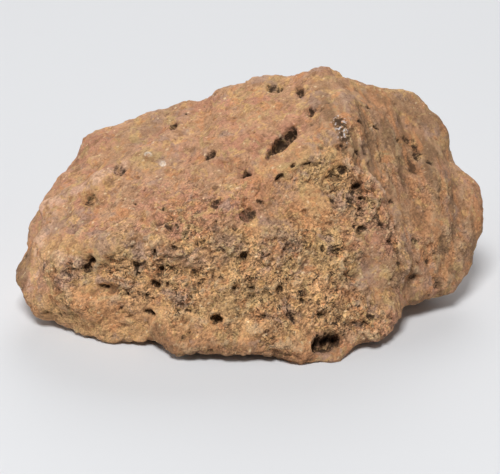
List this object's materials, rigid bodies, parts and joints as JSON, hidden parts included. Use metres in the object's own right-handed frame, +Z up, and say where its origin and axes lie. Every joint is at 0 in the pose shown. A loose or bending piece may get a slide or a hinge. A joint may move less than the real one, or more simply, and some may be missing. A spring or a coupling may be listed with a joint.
{
  "type": "chondrite meteorite",
  "caption": "Hand-sized broken stony meteorite with rounded sloping top faces, a crumbly pitted front over an undercut foot, and a flat underside it rests on.",
  "frame": {"origin": "centre of the bounding box in plan, at the height of the flat resting face", "axes": "+X along the length towards the blunt knobbed end, -Y out of the broken crumbly front, +Z up towards the peak"},
  "size_m": [0.094, 0.063, 0.045],
  "materials": {
    "stone": "dull, rough and weathered"
  },
  "bodies": {
    "root": {"stone": "stone"}
  },
  "joints": []
}
